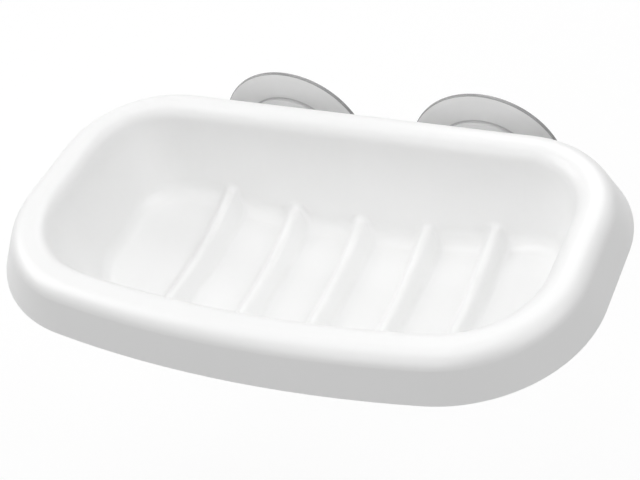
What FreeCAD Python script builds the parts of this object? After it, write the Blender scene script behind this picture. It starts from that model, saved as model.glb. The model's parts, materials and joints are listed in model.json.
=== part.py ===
"""Wall-hung soap dish: a moulded tray held by two soft suction cups.

Millimetres. The origin lies on the wall, midway between the axes of the two cups.
X runs to the right along the wall, Y points into the wall and Z points up.
"""
import FreeCAD, Part
import Sketcher
import math
import os

# Driving dimensions: alias, value, meaning.
SIZES = [
    ("rim_width", 145.6, "width over the lower edge of the skirt"),
    ("rim_depth", 83.6, "front to back over the lower edge of the skirt"),
    ("rim_height", 9.5, "height of the rim from skirt edge to top"),
    ("skirt_draft", 25, "slope of the skirt from the vertical, degrees"),
    ("back_corner", 28, "corner radius of the skirt edge at the back"),
    ("front_corner", 34.3, "corner radius of the skirt edge at the front"),
    ("front_bow", 276, "radius of the bowed front of the skirt edge"),
    ("rim_roll", 4.6, "radius of the roll on the outside of the rim"),
    ("rim_land", 0.8, "flat strip on top of the rim"),
    ("inner_roll", 3.6, "radius of the roll into the basin"),
    ("shell_wall", 2.2, "wall of the rim, the skirt and the basin"),
    ("back_draft", 1, "slope of the back wall of the basin from the vertical, degrees"),
    ("side_draft", 10.1, "slope of the side walls of the basin from the vertical, degrees"),
    ("basin_deep", 35, "rim top down to the lowest point of the floor"),
    ("floor_curve", 164, "radius of the dished floor"),
    ("floor_wall", 2.6, "thickness of the floor"),
    ("floor_front", 13.4, "middle of the dish to the front edge of the floor"),
    ("floor_corner", 14, "corner radius of the floor in plan"),
    ("floor_shift", 5, "lowest point of the floor behind the middle of the dish"),
    ("foot_round", 5, "radius between the basin walls and the floor"),
    ("rib_pitch", 17.9, "distance between the ridges on the floor"),
    ("rib_tall", 3.7, "height of a ridge at its lowest point"),
    ("rib_base", 5.6, "width of a ridge at the floor"),
    ("rib_round", 1.5, "radius of the crest of a ridge"),
    ("rib_foot", 1.8, "radius between a ridge and the floor or wall it meets"),
    ("rib_bend", 83, "radius of the sagging line of a crest"),
    ("cup_spacing", 53, "distance between the axes of the cups"),
    ("cup_drop", 23, "rim top down to the axes of the cups"),
    ("wall_gap", 10.4, "wall to the back edge of the skirt"),
    ("apron_inset", 2.2, "back edge of the skirt to the back face of the apron"),
    ("apron_wall", 2.4, "thickness of the apron"),
    ("apron_side", 14, "axis of a cup to the end of the apron"),
    ("apron_below", 13, "axis of a cup to the lower edge of the apron"),
    ("apron_corner", 10, "radius of the lower corners of the apron"),
    ("web_wall", 2, "thickness of the webs between apron and basin"),
    ("cup_across", 40, "diameter of a cup"),
    ("cup_seal", 3, "width of the flat sealing lip"),
    ("cup_lip", 0.8, "thickness of the lip at its edge"),
    ("cup_hollow", 2.2, "depth of the hollow inside the lip"),
    ("cup_rise", 2.1, "height of the dome at the hub"),
    ("dome_bulge", 0.3, "crown of the dome between lip and hub"),
    ("hub_across", 26.6, "diameter of the raised hub"),
    ("hub_step", 0.8, "height of the step round the hub"),
    ("hub_rise", 3.4, "rise of the hub from its step to the stem"),
    ("hub_sink", 0.6, "hollow of the hub between step and stem"),
    ("stem_across", 13, "diameter of the stem"),
    ("neck_across", 8, "diameter of the neck in the apron's hole"),
    ("neck_fit", 0.05, "clearance round the neck"),
    ("neck_play", 0.1, "clearance in front of and behind the apron"),
    ("head_across", 12.4, "diameter of the snap head"),
    ("head_edge", 1, "height of the rim of the snap head"),
    ("head_dome", 1.8, "rise of the domed top of the snap head"),
    ("edge_round", 0.3, "small rounding on free moulded edges"),
    ("overrun", 5, "reach of a cutting solid past what it cuts"),
]
RIB_COUNT = 5

# Levels and distances that several pieces share, as formulas on the driving dimensions.
RIM_TOP = "Sizes.cup_drop"
RIM_EDGE = "(Sizes.cup_drop - Sizes.rim_height)"
DISH_MIDDLE = "(-Sizes.wall_gap - Sizes.rim_depth / 2)"
FLOOR_LEVEL = "(Sizes.cup_drop - Sizes.basin_deep)"
FLOOR_MIDDLE = "(%s + Sizes.floor_shift)" % DISH_MIDDLE
CREST_LEVEL = "(%s + Sizes.rib_tall)" % FLOOR_LEVEL
RIM_SLOPE = "(Sizes.rim_height * tan(Sizes.skirt_draft))"
ROLL_RUN = "(Sizes.rim_roll * tan((90 - Sizes.skirt_draft) / 2))"
INNER_RUN = "(Sizes.inner_roll * tan((90 - Sizes.back_draft) / 2))"
OPENING_INSET = "(%s + %s + Sizes.rim_land + %s)" % (RIM_SLOPE, ROLL_RUN, INNER_RUN)
FRONT_RUN = "(Sizes.rim_depth / 2 - %s - Sizes.floor_front)" % OPENING_INSET
FRONT_DRAFT = "atan(%s / Sizes.basin_deep)" % FRONT_RUN
BASIN_TOP = "(%s - Sizes.shell_wall / 2)" % RIM_TOP
SKIRT_WALL = "(Sizes.shell_wall / cos(Sizes.skirt_draft))"
APRON_GAP = "(Sizes.wall_gap + Sizes.apron_inset)"
APRON_HALF = "(Sizes.cup_spacing / 2 + Sizes.apron_side)"
APRON_TOP = "(%s + (Sizes.apron_inset - %s / 4) / tan(Sizes.skirt_draft))" % (RIM_EDGE, SKIRT_WALL)
WEB_REACH = "(%s + Sizes.basin_deep * tan(Sizes.back_draft) - Sizes.apron_inset)" % OPENING_INSET

doc = FreeCAD.newDocument("SoapDish")
sheet = doc.addObject("Spreadsheet::Sheet", "Sizes")


def fill_sheet():
    """Write each driving dimension with its alias and meaning."""
    for row, (alias, value, meaning) in enumerate(SIZES, start=1):
        sheet.set("A%d" % row, meaning)
        sheet.set("B%d" % row, str(value))
        sheet.setAlias("B%d" % row, alias)
    doc.recompute()


def size(formula):
    """Value of a formula on the driving dimensions, in millimetres or degrees."""
    return float(sheet.evalExpression(formula))


def new_sketch(body, name, role, **offsets):
    """Sketch on an origin plane of the body, moved by formulas for x, y or z."""
    plane = next(item for item in body.Origin.OriginFeatures if item.Role == role)
    sketch = body.newObject("Sketcher::SketchObject", name)
    sketch.AttachmentSupport = (plane, [""])
    sketch.MapMode = "FlatFace"
    for axis, formula in offsets.items():
        sketch.setExpression("AttachmentOffset.Base." + axis, formula)
    return sketch


def new_feature(body, kind, name, **formulas):
    """Feature of the body whose properties follow formulas."""
    feature = body.newObject("PartDesign::" + kind, name)
    for prop, formula in formulas.items():
        feature.setExpression(prop, formula)
    return feature


def drive(sketch, kind, parts, formula):
    """Dimension in a sketch that follows a formula."""
    index = sketch.addConstraint(Sketcher.Constraint(kind, *parts, size(formula)))
    sketch.setExpression("Constraints[%d]" % index, formula)


def pin(sketch, geometry, end, x_formula, y_formula):
    """Hold one end of a sketch line at a place given by two formulas."""
    origin = (-1, 1)
    for kind, axis, formula in (("DistanceX", -2, x_formula), ("DistanceY", -1, y_formula)):
        if formula == "0":
            sketch.addConstraint(Sketcher.Constraint("PointOnObject", geometry, end, axis))
        else:
            drive(sketch, kind, (*origin, geometry, end), formula)


def outline(sketch, points, bulges=()):
    """Closed outline through points given as formulas.

    bulges maps the index of a stretch to the formula of its rise: that stretch is an arc which
    stands off its chord, to the left of the way it runs, by that much.
    """
    places = [FreeCAD.Vector(size(x), size(y), 0) for x, y in points]
    count = len(places)
    rises = dict(bulges)
    stretches = []
    for index, start in enumerate(places):
        finish = places[(index + 1) % count]
        if index not in rises:
            line = sketch.addGeometry(Part.LineSegment(start, finish))
            stretches.append((line, 1, 2))
            continue
        along = finish - start
        left = FreeCAD.Vector(-along.y, along.x, 0).normalize()
        rise = size(rises[index])
        arc = sketch.addGeometry(Part.Arc(start, (start + finish) / 2 + left * rise, finish))
        stretches.append((arc, 2, 1) if rise > 0 else (arc, 1, 2))
    for index, (x_formula, y_formula) in enumerate(points):
        curve, first, last = stretches[index]
        after, after_first, after_last = stretches[(index + 1) % count]
        sketch.addConstraint(Sketcher.Constraint("Coincident", curve, last, after, after_first))
        pin(sketch, curve, first, x_formula, y_formula)
    for index, rise in rises.items():
        x_start, y_start = points[index]
        x_finish, y_finish = points[(index + 1) % count]
        chord = "(((%s) - (%s)) ^ 2 + ((%s) - (%s)) ^ 2)" % (x_finish, x_start, y_finish, y_start)
        radius = "abs(%s / (8 * (%s)) + (%s) / 2)" % (chord, rise, rise)
        drive(sketch, "Radius", (stretches[index][0],), radius)


def dish_plan(body, name, level, insets, rear_round, front_round):
    """Plan of the dish at a level: the edge of the skirt moved inwards at sides, back and front."""
    side_inset, back_inset, front_inset = insets
    sketch = new_sketch(body, name, "XY_Plane", y=DISH_MIDDLE, z=level)
    half = "Sizes.rim_width / 2 - (%s)" % side_inset
    back = "Sizes.rim_depth / 2 - (%s)" % back_inset
    bow = "Sizes.front_bow - (%s)" % front_inset
    bow_middle = "Sizes.front_bow - Sizes.rim_depth / 2"

    wide = size(half)
    rear = size(back)
    rear_corner = size(rear_round)
    front_corner = size(front_round)
    bow_radius = size(bow)
    bow_y = size(bow_middle)
    corner_x = wide - front_corner
    corner_y = bow_y - math.sqrt((bow_radius - front_corner) ** 2 - corner_x ** 2)
    bow_turn = math.atan2(corner_y - bow_y, corner_x)
    rear_y = rear - rear_corner
    rear_x = wide - rear_corner

    def arc(x, y, radius, start, finish):
        circle = Part.Circle(FreeCAD.Vector(x, y, 0), FreeCAD.Vector(0, 0, 1), radius)
        return sketch.addGeometry(Part.ArcOfCircle(circle, start, finish))

    def line(x_start, y_start, x_finish, y_finish):
        start = FreeCAD.Vector(x_start, y_start, 0)
        return sketch.addGeometry(Part.LineSegment(start, FreeCAD.Vector(x_finish, y_finish, 0)))

    quarter = math.pi / 2
    front = arc(0, bow_y, bow_radius, -2 * quarter - bow_turn, bow_turn)
    front_right = arc(corner_x, corner_y, front_corner, bow_turn, 0)
    right = line(wide, corner_y, wide, rear_y)
    rear_right = arc(rear_x, rear_y, rear_corner, 0, quarter)
    rear_line = line(rear_x, rear, -rear_x, rear)
    rear_left = arc(-rear_x, rear_y, rear_corner, quarter, 2 * quarter)
    left = line(-wide, rear_y, -wide, corner_y)
    front_left = arc(-corner_x, corner_y, front_corner, 2 * quarter, -2 * quarter - bow_turn)

    round_trip = [front, front_right, right, rear_right, rear_line, rear_left, left, front_left]
    for index, curve in enumerate(round_trip):
        after = round_trip[(index + 1) % len(round_trip)]
        sketch.addConstraint(Sketcher.Constraint("Tangent", curve, 2, after, 1))
    sketch.addConstraint(Sketcher.Constraint("Horizontal", rear_line))
    sketch.addConstraint(Sketcher.Constraint("Vertical", right))
    sketch.addConstraint(Sketcher.Constraint("Vertical", left))
    sketch.addConstraint(Sketcher.Constraint("Equal", rear_right, rear_left))
    sketch.addConstraint(Sketcher.Constraint("Equal", front_right, front_left))
    sketch.addConstraint(Sketcher.Constraint("PointOnObject", front, 3, -2))
    drive(sketch, "DistanceX", (-1, 1, right, 1), half)
    drive(sketch, "DistanceX", (-1, 1, left, 1), "-(%s)" % half)
    drive(sketch, "DistanceY", (-1, 1, rear_line, 1), back)
    drive(sketch, "DistanceY", (-1, 1, front, 3), bow_middle)
    drive(sketch, "Radius", (rear_right,), rear_round)
    drive(sketch, "Radius", (front_right,), front_round)
    drive(sketch, "Radius", (front,), bow)
    return sketch


def edges_where(shape, test):
    """Names of the edges of a shape that pass a test."""
    return ["Edge%d" % number for number, edge in enumerate(shape.Edges, start=1) if test(edge)]


def same(first, second):
    """Two lengths that agree to a ten-thousandth."""
    return round(first - second, 4) == 0


def lies_at(level):
    """Test for an edge that lies flat at a level."""
    return lambda edge: same(edge.BoundBox.ZMin, level) and same(edge.BoundBox.ZMax, level)


def round_edges(body, name, test, radius):
    """Fillet on those edges of the body so far that pass a test."""
    doc.recompute()
    base = body.Tip
    fillet = new_feature(body, "Fillet", name, Radius=radius)
    fillet.Base = (base, edges_where(base.Shape, test))
    return fillet


def rim_plan(body, name, inset):
    """Plan at the skirt's edge, moved inwards by the same inset all round."""
    corners = ["Sizes.%s_corner - (%s)" % (end, inset) for end in ("back", "front")]
    return dish_plan(body, name, RIM_EDGE, [inset] * 3, *corners)


def rim_shell():
    """Rim with its roll and flared skirt, hollow underneath, before the basin is cut into it."""
    body = doc.addObject("PartDesign::Body", "RimShell")
    pad = new_feature(body, "Pad", "RimBlock", Length="Sizes.rim_height", TaperAngle="-Sizes.skirt_draft")
    pad.Profile = rim_plan(body, "RimPlan", "0")
    body.Tip = pad
    round_edges(body, "RimRoll", lies_at(size(RIM_TOP)), "Sizes.rim_roll")

    deep = "Sizes.rim_height - Sizes.shell_wall"
    hollow = new_feature(body, "Pocket", "Underside", Length=deep, TaperAngle="-Sizes.skirt_draft")
    hollow.Profile = rim_plan(body, "UndersidePlan", SKIRT_WALL)
    hollow.Reversed = True
    ceiling = size("%s - Sizes.shell_wall" % RIM_TOP)
    round_edges(body, "UndersideRoll", lies_at(ceiling), "Sizes.rim_roll - Sizes.shell_wall")
    return body


def bowl_plan(body, name, level, skin):
    """Plan of the basin at a level, grown by the thickness of a skin."""
    drop = "(%s - (%s))" % (RIM_TOP, level)
    insets = []
    for draft in ("Sizes.side_draft", "Sizes.back_draft", FRONT_DRAFT):
        insets.append("%s + %s * tan(%s) - %s / cos(%s)" % (OPENING_INSET, drop, draft, skin, draft))
    share = "(%s / Sizes.basin_deep)" % drop
    corners = []
    for end in ("back", "front"):
        opening = "(Sizes.%s_corner - %s)" % (end, OPENING_INSET)
        corners.append("%s + %s * (Sizes.floor_corner - %s) + %s" % (opening, share, opening, skin))
    return dish_plan(body, name, level, insets, *corners)


def bowl_solid(name, top, skin, curve, foot):
    """Solid of the basin with sloping walls, a dished bottom and a rounded foot."""
    block = doc.addObject("PartDesign::Body", name + "Block")
    walls = new_feature(block, "AdditiveLoft", name + "Walls")
    walls.Profile = bowl_plan(block, name + "TopPlan", top, skin)
    walls.Sections = [bowl_plan(block, name + "LowPlan", "%s - Sizes.overrun" % FLOOR_LEVEL, skin)]
    walls.Ruled = True

    ball = doc.addObject("Part::Sphere", name + "Ball")
    ball.setExpression("Radius", curve)
    ball.setExpression("Placement.Base.y", FLOOR_MIDDLE)
    ball.setExpression("Placement.Base.z", "%s + Sizes.floor_curve" % FLOOR_LEVEL)
    common = joined("MultiCommon", name + "Common", [block, ball])
    doc.recompute()

    body = doc.addObject("PartDesign::Body", name)
    body.BaseFeature = common
    half_way = size("(%s + %s) / 2" % (RIM_TOP, FLOOR_LEVEL))
    round_edges(body, name + "Foot", lambda edge: edge.BoundBox.ZMax < half_way, foot)
    return body


def apron():
    """Flat plate behind the basin that carries the cups, with three webs to the basin."""
    body = doc.addObject("PartDesign::Body", "Apron")
    plate = new_feature(body, "Pad", "ApronPlate", Length="Sizes.apron_wall")
    plate_plan = new_sketch(body, "ApronPlan", "XZ_Plane", z=APRON_GAP)
    low = "-Sizes.apron_below"
    left = "-" + APRON_HALF
    outline(plate_plan, [(left, low), (APRON_HALF, low), (APRON_HALF, APRON_TOP), (left, APRON_TOP)])
    plate.Profile = plate_plan
    low_level = size(low)

    def is_lower_corner(edge):
        box = edge.BoundBox
        return box.YLength > box.XLength + box.ZLength and box.ZMax < low_level + box.YLength

    round_edges(body, "ApronCorners", is_lower_corner, "Sizes.apron_corner")

    webs = new_feature(body, "Pad", "Webs", Length=WEB_REACH)
    web_plan = new_sketch(body, "WebPlan", "XZ_Plane", z=APRON_GAP)
    web_foot = "Sizes.apron_corner - Sizes.apron_below"
    end_web = "(%s - Sizes.web_wall / 2)" % APRON_HALF
    for middle in ("-" + end_web, "0", end_web):
        near = "%s - Sizes.web_wall / 2" % middle
        far = "%s + Sizes.web_wall / 2" % middle
        outline(web_plan, [(near, web_foot), (far, web_foot), (far, APRON_TOP), (near, APRON_TOP)])
    webs.Profile = web_plan
    return body


def rib(number):
    """One ridge: a pointed section with a round crest, turned about a level axis high above it."""
    side = "(%d - (%d - 1) / 2) * Sizes.rib_pitch" % (number, RIB_COUNT)
    climb = "(Sizes.floor_curve - sqrt(Sizes.floor_curve ^ 2 - (%s) ^ 2))" % side
    axis_level = "%s + %s + Sizes.rib_bend" % (CREST_LEVEL, climb)
    body = doc.addObject("PartDesign::Body", "Rib%d" % number)
    turn = "2 * asin(Sizes.rim_depth / 2 / Sizes.rib_bend)"
    ridge = new_feature(body, "Revolution", "Ridge%d" % number, Angle=turn)
    section = new_sketch(body, "RidgeSection%d" % number, "XZ_Plane", x=side, y=axis_level,
                         z="-" + FLOOR_MIDDLE)
    half = "Sizes.rib_base / 2"
    rise = "(Sizes.rib_tall - Sizes.rib_round)"
    reach = "sqrt((%s) ^ 2 + %s ^ 2)" % (half, rise)
    lean = "(atan(%s / %s) - asin(Sizes.rib_round / %s))" % (half, rise, reach)
    root = "-(Sizes.rib_bend + 2 * Sizes.rib_tall)"
    root_half = "(%s + Sizes.rib_tall * tan%s)" % (half, lean)
    shoulder = "Sizes.rib_round * cos%s" % lean
    crest_rise = "Sizes.rib_round * (1 - sin%s)" % lean
    shoulder_level = "-(Sizes.rib_bend + %s)" % crest_rise
    corners = [
        (root_half, root),
        ("-" + root_half, root),
        ("-" + shoulder, shoulder_level),
        (shoulder, shoulder_level),
    ]
    outline(section, corners, {2: crest_rise})
    ridge.Profile = section
    ridge.ReferenceAxis = (section, ["H_Axis"])
    ridge.Midplane = True
    return body


def joined(kind, name, pieces):
    """Boolean of several solids."""
    solid = doc.addObject("Part::" + kind, name)
    solid.Shapes = pieces
    return solid


def soap_tray():
    """The tray in one piece: rim, skirt, basin, ridges and apron."""
    outside = bowl_solid("Basin", BASIN_TOP, "Sizes.shell_wall",
                         "Sizes.floor_curve + Sizes.floor_wall", "Sizes.foot_round + Sizes.shell_wall")
    inside = bowl_solid("Cavity", "%s + Sizes.overrun" % RIM_TOP, "0",
                        "Sizes.floor_curve", "Sizes.foot_round")
    blank = joined("MultiFuse", "TrayBlank", [rim_shell(), outside, apron()])
    hollow = doc.addObject("Part::Cut", "TrayHollow")
    hollow.Base = blank
    hollow.Tool = inside
    ridges = joined("MultiFuse", "Ridges", [rib(number) for number in range(RIB_COUNT)])
    trimmed = joined("MultiCommon", "TrimmedRidges", [ridges, outside])
    ribbed = joined("MultiFuse", "RibbedTray", [hollow, trimmed])
    ribbed.Refine = True
    doc.recompute()

    body = doc.addObject("PartDesign::Body", "Tray")
    body.Label = "soap_tray"
    body.BaseFeature = ribbed
    at_top = lies_at(size(RIM_TOP))

    def is_opening(edge):
        return at_top(edge) and same(edge.distToShape(inside.Shape)[0], 0)

    round_edges(body, "InnerRoll", is_opening, "Sizes.inner_roll")
    basin_skin = inside.Shape.Shells[0]

    def is_ridge_foot(edge):
        if edge.Degenerated or edge.BoundBox.ZMax > size(RIM_EDGE):
            return False
        middle = Part.Vertex(edge.valueAt((edge.FirstParameter + edge.LastParameter) / 2))
        return all(same(middle.distToShape(skin)[0], 0) for skin in (basin_skin, ridges.Shape))

    round_edges(body, "RidgeFeet", is_ridge_foot, "Sizes.rib_foot")

    holes = new_feature(body, "Pocket", "CupHoles", Length="Sizes.apron_wall")
    hole_plan = new_sketch(body, "HolePlan", "XZ_Plane", z=APRON_GAP)
    hole_radius = "Sizes.neck_across / 2 + Sizes.neck_fit"
    for side in ("-Sizes.cup_spacing / 2", "Sizes.cup_spacing / 2"):
        middle = FreeCAD.Vector(size(side), 0, 0)
        circle = Part.Circle(middle, FreeCAD.Vector(0, 0, 1), size(hole_radius))
        index = hole_plan.addGeometry(circle)
        pin(hole_plan, index, 3, side, "0")
        drive(hole_plan, "Radius", (index,), hole_radius)
    holes.Profile = hole_plan
    holes.Reversed = True
    return body


def suction_cup(label, side):
    """One soft cup: sealing lip, dome, hub, stem, neck in the apron's hole and snap head."""
    body = doc.addObject("PartDesign::Body", "Cup")
    body.Label = label
    section = new_sketch(body, "CupSection", "XY_Plane", x=side)
    rim = "Sizes.cup_across / 2"
    hub = "Sizes.hub_across / 2"
    stem = "Sizes.stem_across / 2"
    neck = "Sizes.neck_across / 2"
    head = "Sizes.head_across / 2"
    hub_foot = "-Sizes.cup_rise"
    hub_top = "-(Sizes.cup_rise + Sizes.hub_step)"
    stem_foot = "-(Sizes.cup_rise + Sizes.hub_step + Sizes.hub_rise)"
    shoulder = "-(%s - Sizes.neck_play)" % APRON_GAP
    head_foot = "-(%s + Sizes.apron_wall + Sizes.neck_play)" % APRON_GAP
    head_top = "%s - Sizes.head_edge" % head_foot
    corners = [
        ("0", "-Sizes.cup_hollow"),
        ("%s - Sizes.cup_seal" % rim, "0"),
        (rim, "0"),
        (rim, "-Sizes.cup_lip"),
        (hub, hub_foot),
        (hub, hub_top),
        (stem, stem_foot),
        (stem, shoulder),
        (neck, shoulder),
        (neck, head_foot),
        (head, head_foot),
        (head, head_top),
        ("0", "%s - Sizes.head_dome" % head_top),
    ]
    bulges = {
        0: "-Sizes.cup_hollow / 4",
        3: "Sizes.dome_bulge",
        5: "-Sizes.hub_sink",
        11: "Sizes.head_dome / 4",
    }
    outline(section, corners, bulges)
    turned = new_feature(body, "Revolution", "Turned")
    turned.Profile = section
    turned.ReferenceAxis = (section, ["V_Axis"])
    body.Tip = turned
    rounded = [(rim, "-Sizes.cup_lip"), (hub, hub_top), (head, head_foot), (head, head_top)]
    places = [(size(reach), size(height)) for reach, height in rounded]

    def is_rounded(edge):
        if edge.Degenerated or not isinstance(edge.Curve, Part.Circle):
            return False
        radius = edge.Curve.Radius
        level = edge.Curve.Center.y
        return any(same(radius, place[0]) and same(level, place[1]) for place in places)

    round_edges(body, "CupEdges", is_rounded, "Sizes.edge_round")
    return body


def export(pieces):
    """Check every object and every piece, then write one file for each piece."""
    doc.recompute()
    faulty = [item.Name for item in doc.Objects if {"Invalid", "Error"} & set(item.State)]
    if faulty:
        raise RuntimeError("failed objects: " + ", ".join(faulty))
    for piece in pieces:
        if piece.Shape.isNull() or not piece.Shape.isValid() or len(piece.Shape.Solids) != 1:
            raise RuntimeError("not one sound solid: " + piece.Label)
    os.makedirs("parts", exist_ok=True)
    for piece in pieces:
        piece.Shape.exportStep("parts/%s.step" % piece.Label)
        print(piece.Label, "volume", round(piece.Shape.Volume), "mm3")


fill_sheet()
export([
    soap_tray(),
    suction_cup("left_suction_cup", "-Sizes.cup_spacing / 2"),
    suction_cup("right_suction_cup", "Sizes.cup_spacing / 2"),
])
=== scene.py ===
"""Look of the wall-hung soap dish: white moulded tray and two soft clear suction cups."""
import json
import math

import bpy
from mathutils import Matrix, Vector

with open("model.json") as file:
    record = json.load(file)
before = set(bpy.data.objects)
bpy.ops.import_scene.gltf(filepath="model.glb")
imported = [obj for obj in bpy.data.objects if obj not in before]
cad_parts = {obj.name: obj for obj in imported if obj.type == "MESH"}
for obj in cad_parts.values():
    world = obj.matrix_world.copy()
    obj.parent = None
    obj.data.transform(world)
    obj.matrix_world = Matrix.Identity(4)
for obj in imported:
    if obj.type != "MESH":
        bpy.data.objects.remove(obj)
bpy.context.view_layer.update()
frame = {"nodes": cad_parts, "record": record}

scene = bpy.context.scene
MM = 0.001

# Camera: the photo's heading, height, roll and focal length in pixels, round the middle of the rim.
DISH_MIDDLE = Vector((0, -52.2, 23)) * MM
HEADING = math.radians(32.915)
HEIGHT = math.radians(41.79)
ROLL = math.radians(-14.383)
FOCAL_PX = 1516.6
DISTANCE = 340.16 * MM
SIDE_SHIFT = -6.338 * MM
RISE_SHIFT = 5.603 * MM
IMAGE_WIDTH = 640
SENSOR = 36
NEAR_CLIP = 10 * MM

# Patterns: features to the metre, and the part of each noise's range that is used.
FLOW_SCALE = 30
GRAIN_SCALE = 900
PEEL_SCALE = 220
RUB_SCALE = 260
RUB_STRETCH = (1, 14, 1)
RUB_TURN = (0, 0, 0.6)
CLOUD_SCALE = 120
CUP_GRAIN_SCALE = 700
NOISE_LOW = 0.3
NOISE_HIGH = 0.7
RUB_LOW = 0.45
RUB_HIGH = 0.8

# Tray: two whites of the flow in the moulding, roughness of the grain and of rubbed places, bumps.
TRAY_DARK = (0.9, 0.901, 0.898)
TRAY_LIGHT = (0.92, 0.92, 0.919)
TRAY_SMOOTH = 0.29
TRAY_ROUGH = 0.33
RUB_ROUGH = 0.07
TRAY_IOR = 1.5
PEEL_HEIGHT = 0.005 * MM
GRAIN_HEIGHT = 0.0004 * MM
BUMP_STRENGTH = 0.3

# Cups: place of the axes, and greys from the axis to the edge by share of the radius. The greys hold
# painted light and shade: lighter at the hub, partly its own tone and partly against the shade of the
# tray's wall, a painted dark line at the hub's step, a darker ring, and a painted highlight band near
# the lip.
CUP_OFFSET = 26.5 * MM
CUP_RADIUS = 20 * MM
HUB_RADIUS = 13.3 * MM
HUB_SHARE = HUB_RADIUS / CUP_RADIUS
CUP_GREYS_WITH_PAINTED_SHADE = (
    (0, 0.97),
    (HUB_SHARE - 0.015, 0.98),
    (HUB_SHARE + 0.003, 0.5),
    (HUB_SHARE + 0.02, 0.97),
    (0.8, 0.94),
    (0.93, 0.95),
    (0.96, 0.98),
)
# Painted shade: the dark look of the cup's clear edge, laid as a dark grey on the outermost share of
# the radius.
LIP_SHARE = 0.99
LIP_PAINTED_SHADE = (0.38, 0.38, 0.38, 1)
CLOUD_DARK = 0.97
CLOUD_LIGHT = 1.0
CUP_SMOOTH = 0.18
CUP_ROUGH = 0.25
CUP_IOR = 1.48
CUP_CLEAR = 0.35
CLOUD_HEIGHT = 0.01 * MM

# Studio: what the floor and the surroundings show and the light they give, and the lamps in watts.
WHITE = (1, 1, 1, 1)
FLOOR_LEVEL = -120 * MM
FLOOR_HALF = 3
FLOOR_COLOUR = (0.25, 0.25, 0.25, 1)
FLOOR_ROUGH = 0.9
FLOOR_GLOW = 0.77
SKY_SHOWN = 1
SKY_LIGHT = 0.15
LAMP_SIDE = 0.6
LAMPS = {
    "left_light": ((-0.7, -0.05, 0.6), 3.3),
    "right_light": ((0.7, -0.05, 0.6), 2.4),
    "back_light": ((0, 0.65, 0.6), 2.3),
    "top_light": ((0, -0.05, 0.9), 1.7),
    "front_light": ((0, -0.75, 0.6), 2.0),
}


def make_camera():
    """Camera at the photo's viewing angle."""
    flat = math.cos(HEIGHT)
    back = Vector((math.sin(HEADING) * flat, -math.cos(HEADING) * flat, math.sin(HEIGHT)))
    level = Vector((math.cos(HEADING), math.sin(HEADING), 0))
    above = back.cross(level)
    right = level * math.cos(ROLL) + above * math.sin(ROLL)
    up = above * math.cos(ROLL) - level * math.sin(ROLL)
    place = DISH_MIDDLE - right * SIDE_SHIFT - up * RISE_SHIFT + back * DISTANCE
    data = bpy.data.cameras.new("camera")
    data.sensor_width = SENSOR
    data.lens = FOCAL_PX / IMAGE_WIDTH * SENSOR
    data.clip_start = NEAR_CLIP
    camera = bpy.data.objects.new("camera", data)
    scene.collection.objects.link(camera)
    turn = Matrix((right, up, back)).transposed()
    camera.matrix_world = Matrix.Translation(place) @ turn.to_4x4()
    scene.camera = camera


class Shader:
    """A node material with short ways to add and link nodes."""

    def __init__(self, name):
        self.material = bpy.data.materials.new(name)
        self.material.use_nodes = True
        self.nodes = self.material.node_tree.nodes
        self.links = self.material.node_tree.links
        self.main = self.nodes["Principled BSDF"]

    def add(self, kind, settings=(), **values):
        """Node of a kind, with settings of the node and values or links for its sockets."""
        node = self.nodes.new("ShaderNode" + kind)
        for key, value in dict(settings).items():
            setattr(node, key, value)
        for key, value in values.items():
            self.put(node, key, value)
        return node

    def put(self, node, key, value):
        """Value or link for one socket, found by name or by number."""
        socket = node.inputs[key]
        if isinstance(value, bpy.types.NodeSocket):
            self.links.new(value, socket)
        else:
            socket.default_value = value

    def math(self, operation, *values):
        """Sum, product or other function of numbers."""
        node = self.add("Math", {"operation": operation})
        for index, value in enumerate(values):
            self.put(node, index, value)
        return node.outputs[0]

    def noise(self, where, scale, detail=2.0, roughness=0.5):
        """Noise between 0 and 1 on coordinates, with so many features to the metre."""
        node = self.add("TexNoise", Vector=where, Scale=scale, Detail=detail, Roughness=roughness)
        return node.outputs["Fac"]

    def ramp(self, factor, *stops):
        """Colour or grey from a factor, by stops of (place, grey or colour)."""
        node = self.add("ValToRGB", Fac=factor)
        elements = node.color_ramp.elements
        while len(elements) < len(stops):
            elements.new(1)
        for element, (place, colour) in zip(elements, stops):
            element.position = place
            grey = (colour, colour, colour) if isinstance(colour, (int, float)) else colour
            element.color = (*grey, 1)
        return node.outputs["Color"]

    def mix(self, factor, first, second, blend="MIX"):
        """Colour mixed or multiplied from two colours."""
        node = self.add("Mix", {"data_type": "RGBA", "blend_type": blend})
        self.put(node, "Factor", factor)
        colours = [socket for socket in node.inputs if socket.type == "RGBA"]
        for socket, colour in zip(colours, (first, second)):
            if isinstance(colour, bpy.types.NodeSocket):
                self.links.new(colour, socket)
            else:
                socket.default_value = colour
        return next(socket for socket in node.outputs if socket.type == "RGBA")

    def span(self, value, low, high, to_low, to_high):
        """Number moved from one range to another, held at the ends."""
        node = self.add("MapRange")
        for key, number in zip(("Value", "From Min", "From Max", "To Min", "To Max"),
                               (value, low, high, to_low, to_high)):
            self.put(node, key, number)
        return node.outputs["Result"]

    def bump(self, height, distance, normal=None):
        """Normal that follows a height in metres."""
        node = self.add("Bump", Height=height, Distance=distance, Strength=BUMP_STRENGTH)
        if normal is not None:
            self.put(node, "Normal", normal)
        return node.outputs["Normal"]


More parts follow.
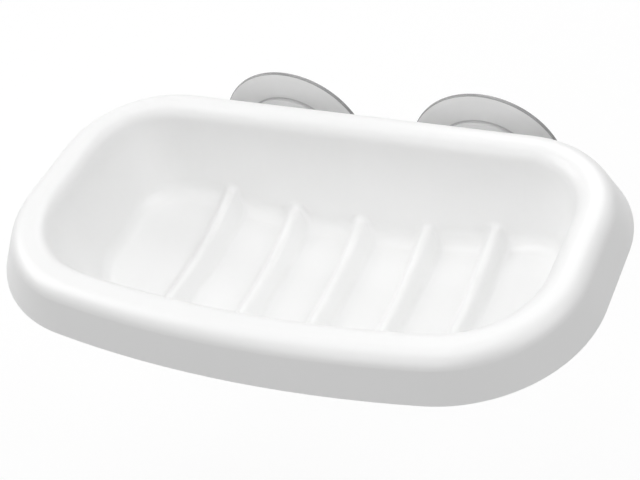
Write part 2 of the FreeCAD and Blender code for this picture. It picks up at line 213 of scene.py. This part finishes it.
def tray_material():
    """White moulded plastic: satin, with faint flow, fine grain and light rubbing from use."""
    paint = Shader("tray_plastic")
    where = paint.add("TexCoord").outputs["Object"]
    flow = paint.noise(where, FLOW_SCALE, 3)
    fine = paint.noise(where, GRAIN_SCALE, 3, 0.6)
    tint = paint.ramp(flow, (NOISE_LOW, TRAY_DARK), (NOISE_HIGH, TRAY_LIGHT))
    paint.put(paint.main, "Base Color", tint)

    stretch = paint.add("Mapping", Vector=where, Scale=RUB_STRETCH, Rotation=RUB_TURN).outputs["Vector"]
    rubbed = paint.noise(stretch, RUB_SCALE, 4, 0.65)
    worn = paint.span(rubbed, RUB_LOW, RUB_HIGH, 0, RUB_ROUGH)
    grain = paint.span(fine, NOISE_LOW, NOISE_HIGH, TRAY_SMOOTH, TRAY_ROUGH)
    paint.put(paint.main, "Roughness", paint.math("ADD", worn, grain))
    paint.put(paint.main, "IOR", TRAY_IOR)

    peel = paint.noise(where, PEEL_SCALE, 2)
    skin = paint.bump(peel, PEEL_HEIGHT)
    paint.put(paint.main, "Normal", paint.bump(fine, GRAIN_HEIGHT, skin))
    return paint.material


def cup_material():
    """Soft clear vinyl, a little milky, with painted shade: a dark lip for the dark look of the clear
    edge, a dark line at the step of the hub, and greys that even out the cup's shading.
    """
    paint = Shader("cup_pvc")
    where = paint.add("TexCoord").outputs["Object"]
    parts = paint.add("SeparateXYZ", Vector=where)
    across = paint.math("SUBTRACT", paint.math("ABSOLUTE", parts.outputs["X"]), CUP_OFFSET)
    across_square = paint.math("POWER", across, 2)
    rise_square = paint.math("POWER", parts.outputs["Z"], 2)
    reach = paint.math("SQRT", paint.math("ADD", across_square, rise_square))
    share = paint.math("DIVIDE", reach, CUP_RADIUS)
    # Greys by share of the radius, with painted light and shade: lighter hub, painted dark line at its
    # step, darker ring, painted highlight band by the lip.
    tint = paint.ramp(share, *CUP_GREYS_WITH_PAINTED_SHADE)
    # Painted shade on the lip: the outermost share of the radius is darkened for the dark look of the
    # clear edge.
    lip = paint.math("GREATER_THAN", share, LIP_SHARE)

    cloud = paint.noise(where, CLOUD_SCALE, 3)
    milk = paint.ramp(cloud, (NOISE_LOW, CLOUD_DARK), (NOISE_HIGH, CLOUD_LIGHT))
    clouded = paint.mix(1, tint, milk, "MULTIPLY")
    paint.put(paint.main, "Base Color", paint.mix(lip, clouded, LIP_PAINTED_SHADE))

    fine = paint.noise(where, CUP_GRAIN_SCALE, 2)
    paint.put(paint.main, "Roughness", paint.span(fine, NOISE_LOW, NOISE_HIGH, CUP_SMOOTH, CUP_ROUGH))
    paint.put(paint.main, "IOR", CUP_IOR)
    paint.put(paint.main, "Transmission Weight", CUP_CLEAR)
    paint.put(paint.main, "Normal", paint.bump(cloud, CLOUD_HEIGHT))
    return paint.material


def backdrop(nodes, links, shown, light):
    """Socket with one strength for rays that show the background and another for all other rays."""
    rays = nodes.new("ShaderNodeLightPath")
    shows = nodes.new("ShaderNodeMath")
    shows.operation = "MAXIMUM"
    links.new(rays.outputs["Is Camera Ray"], shows.inputs[0])
    links.new(rays.outputs["Is Transmission Ray"], shows.inputs[1])
    more = nodes.new("ShaderNodeMath")
    more.operation = "MAXIMUM"
    links.new(shows.outputs[0], more.inputs[0])
    links.new(rays.outputs["Is Glossy Ray"], more.inputs[1])
    level = nodes.new("ShaderNodeMapRange")
    level.inputs["To Min"].default_value = light
    level.inputs["To Max"].default_value = shown
    links.new(more.outputs[0], level.inputs["Value"])
    return level.outputs["Result"]


def make_floor():
    """Pale floor that shows white and keeps the shadow of the dish."""
    mesh = bpy.data.meshes.new("floor")
    half = FLOOR_HALF
    corners = [
        (-half, -half, FLOOR_LEVEL),
        (half, -half, FLOOR_LEVEL),
        (half, half, FLOOR_LEVEL),
        (-half, half, FLOOR_LEVEL),
    ]
    mesh.from_pydata(corners, [], [(0, 1, 2, 3)])
    floor = bpy.data.objects.new("floor", mesh)
    scene.collection.objects.link(floor)
    paint = Shader("floor_paint")
    paint.put(paint.main, "Base Color", FLOOR_COLOUR)
    paint.put(paint.main, "Roughness", FLOOR_ROUGH)
    paint.put(paint.main, "Specular IOR Level", 0)
    paint.put(paint.main, "Emission Color", WHITE)
    paint.put(paint.main, "Emission Strength", backdrop(paint.nodes, paint.links, FLOOR_GLOW, 0))
    mesh.materials.append(paint.material)


def make_world():
    """White surroundings for the eye, and a weak even light for the object."""
    world = bpy.data.worlds.new("studio")
    scene.world = world
    world.use_nodes = True
    nodes = world.node_tree.nodes
    sky = nodes["Background"]
    sky.inputs["Color"].default_value = WHITE
    links = world.node_tree.links
    links.new(backdrop(nodes, links, SKY_SHOWN, SKY_LIGHT), sky.inputs["Strength"])


def area_light(name, place, power):
    """Soft square lamp that looks at the middle of the dish."""
    data = bpy.data.lights.new(name, "AREA")
    data.shape = "SQUARE"
    data.size = LAMP_SIDE
    data.energy = power
    lamp = bpy.data.objects.new(name, data)
    lamp.location = place
    lamp.rotation_euler = (DISH_MIDDLE - Vector(place)).to_track_quat("-Z", "Y").to_euler()
    scene.collection.objects.link(lamp)


scene.view_settings.view_transform = "Standard"
looks = {"tray_plastic": tray_material(), "cup_pvc": cup_material()}
slots = {part["node"]: part["material_slot"] for part in frame["record"]["subparts"]}
for name, node in frame["nodes"].items():
    node.data.materials.clear()
    node.data.materials.append(looks[slots[name]])

make_camera()
make_floor()
make_world()
for name, (place, power) in LAMPS.items():
    area_light(name, place, power)
